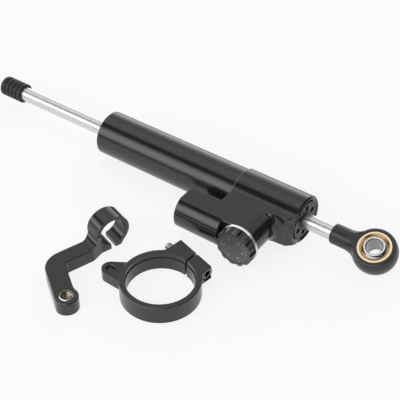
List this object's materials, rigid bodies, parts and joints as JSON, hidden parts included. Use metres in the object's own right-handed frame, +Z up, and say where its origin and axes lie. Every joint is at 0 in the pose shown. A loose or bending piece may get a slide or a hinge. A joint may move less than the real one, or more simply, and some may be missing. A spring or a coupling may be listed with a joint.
{
  "type": "motorcycle steering damper",
  "caption": "Linear through-rod steering damper with side reservoir, click adjuster and rod end, with a split fork clamp and a cranked arm bracket lying beside it.",
  "frame": {"origin": "on the damper's axis, in the middle of the bare length of its tube", "axes": "+X along the damper towards the rod end, -Y from the axis towards the knob, +Z up from the surface that everything lies on"},
  "size_m": [0.3145, 0.1532, 0.032],
  "materials": {
    "black_anodised": "black anodised, satin to bright",
    "bare_aluminium": "turned, bright",
    "ground_steel": "ground",
    "spring_steel": "blackened",
    "zinc_steel": "zinc plated",
    "hard_chrome": "hard chromed and polished",
    "black_steel": "black, satin",
    "brass": "turned",
    "bronze": "turned",
    "rubber": "moulded, matt",
    "dial_black": "printed dial, satin"
  },
  "bodies": {
    "damper": {"main_tube": "black_anodised", "inner_cylinder": "ground_steel", "left_gland": "bare_aluminium", "left_rod_bush": "bronze", "left_rod_seal": "rubber", "left_wiper": "rubber", "left_gland_o_ring": "rubber", "left_snap_ring": "spring_steel", "tube_o_ring": "rubber", "valve_housing": "black_anodised", "end_gland_nut": "black_anodised", "right_rod_bush": "bronze", "right_rod_seal": "rubber", "right_wiper": "rubber", "right_gland_o_ring": "rubber", "needle_seat": "brass", "adjuster_washer": "bare_aluminium", "washer_screws": "spring_steel", "reservoir_cap": "black_anodised", "reservoir_cap_o_ring": "rubber", "reservoir_snap_ring": "spring_steel", "filler_screw": "spring_steel"},
    "piston_group": {"piston": "bare_aluminium", "piston_ring": "bronze"},
    "rod_group": {"piston_rod": "hard_chrome", "piston_clips": "spring_steel", "rod_cap": "rubber", "rod_end_housing": "black_steel", "rod_end_race": "brass"},
    "eye_ball": {"rod_end_ball": "hard_chrome"},
    "knob_group": {"adjuster_knob": "black_anodised", "knob_face": "dial_black", "knob_screw": "spring_steel", "adjuster_spindle": "ground_steel", "spindle_o_ring": "rubber", "detent_ball": "ground_steel", "detent_spring": "spring_steel"},
    "needle_group": {"adjuster_needle": "ground_steel"},
    "float_group": {"floating_piston": "bare_aluminium", "floating_piston_o_ring": "rubber"},
    "fork_clamp": {"fork_clamp_ring": "black_anodised"},
    "pinch_bolt": {"clamp_bolt": "zinc_steel"},
    "arm": {"arm_bracket": "black_anodised", "arm_bush": "zinc_steel"}
  },
  "joints": [
    {"name": "rod_slide", "type": "slide", "parent": "damper", "child": "piston_group", "axis": [1, 0, 0], "range_m": [-0.019, 0.078]},
    {"name": "rod_spin", "type": "hinge", "parent": "piston_group", "child": "rod_group", "pos_m": [0, 0, 0], "axis": [1, 0, 0], "continuous": true},
    {"name": "ball_spin", "type": "hinge", "parent": "rod_group", "child": "eye_ball", "pos_m": [0.1495, 0, 0], "axis": [0, -0.3746, 0.9272], "continuous": true},
    {"name": "knob_turn", "type": "hinge", "parent": "damper", "child": "knob_group", "pos_m": [0.0796, -0.045, 0], "axis": [0, -1, 0], "range_deg": [-150, 150]},
    {"name": "needle_feed", "type": "slide", "parent": "knob_group", "child": "needle_group", "axis": [0, -1, 0], "range_m": [-0.00042, 0.00042]},
    {"name": "float_slide", "type": "slide", "parent": "damper", "child": "float_group", "axis": [1, 0, 0], "range_m": [-0.004, 0.004]},
    {"name": "clamp_lay", "type": "slide", "parent": "damper", "child": "fork_clamp", "axis": [1, 0, 0], "range_m": [0, 0.06]},
    {"name": "bolt_turn", "type": "hinge", "parent": "fork_clamp", "child": "pinch_bolt", "pos_m": [0.06103, -0.06409, -0.0087], "axis": [-0.9848, 0.1736, 0], "continuous": true},
    {"name": "arm_lay", "type": "slide", "parent": "damper", "child": "arm", "axis": [-1, 0, 0], "range_m": [0, 0.06]}
  ],
  "couplings": [
    {"joint": "needle_feed", "follows": "knob_turn", "m_per_rad": 0.00015915}
  ]
}
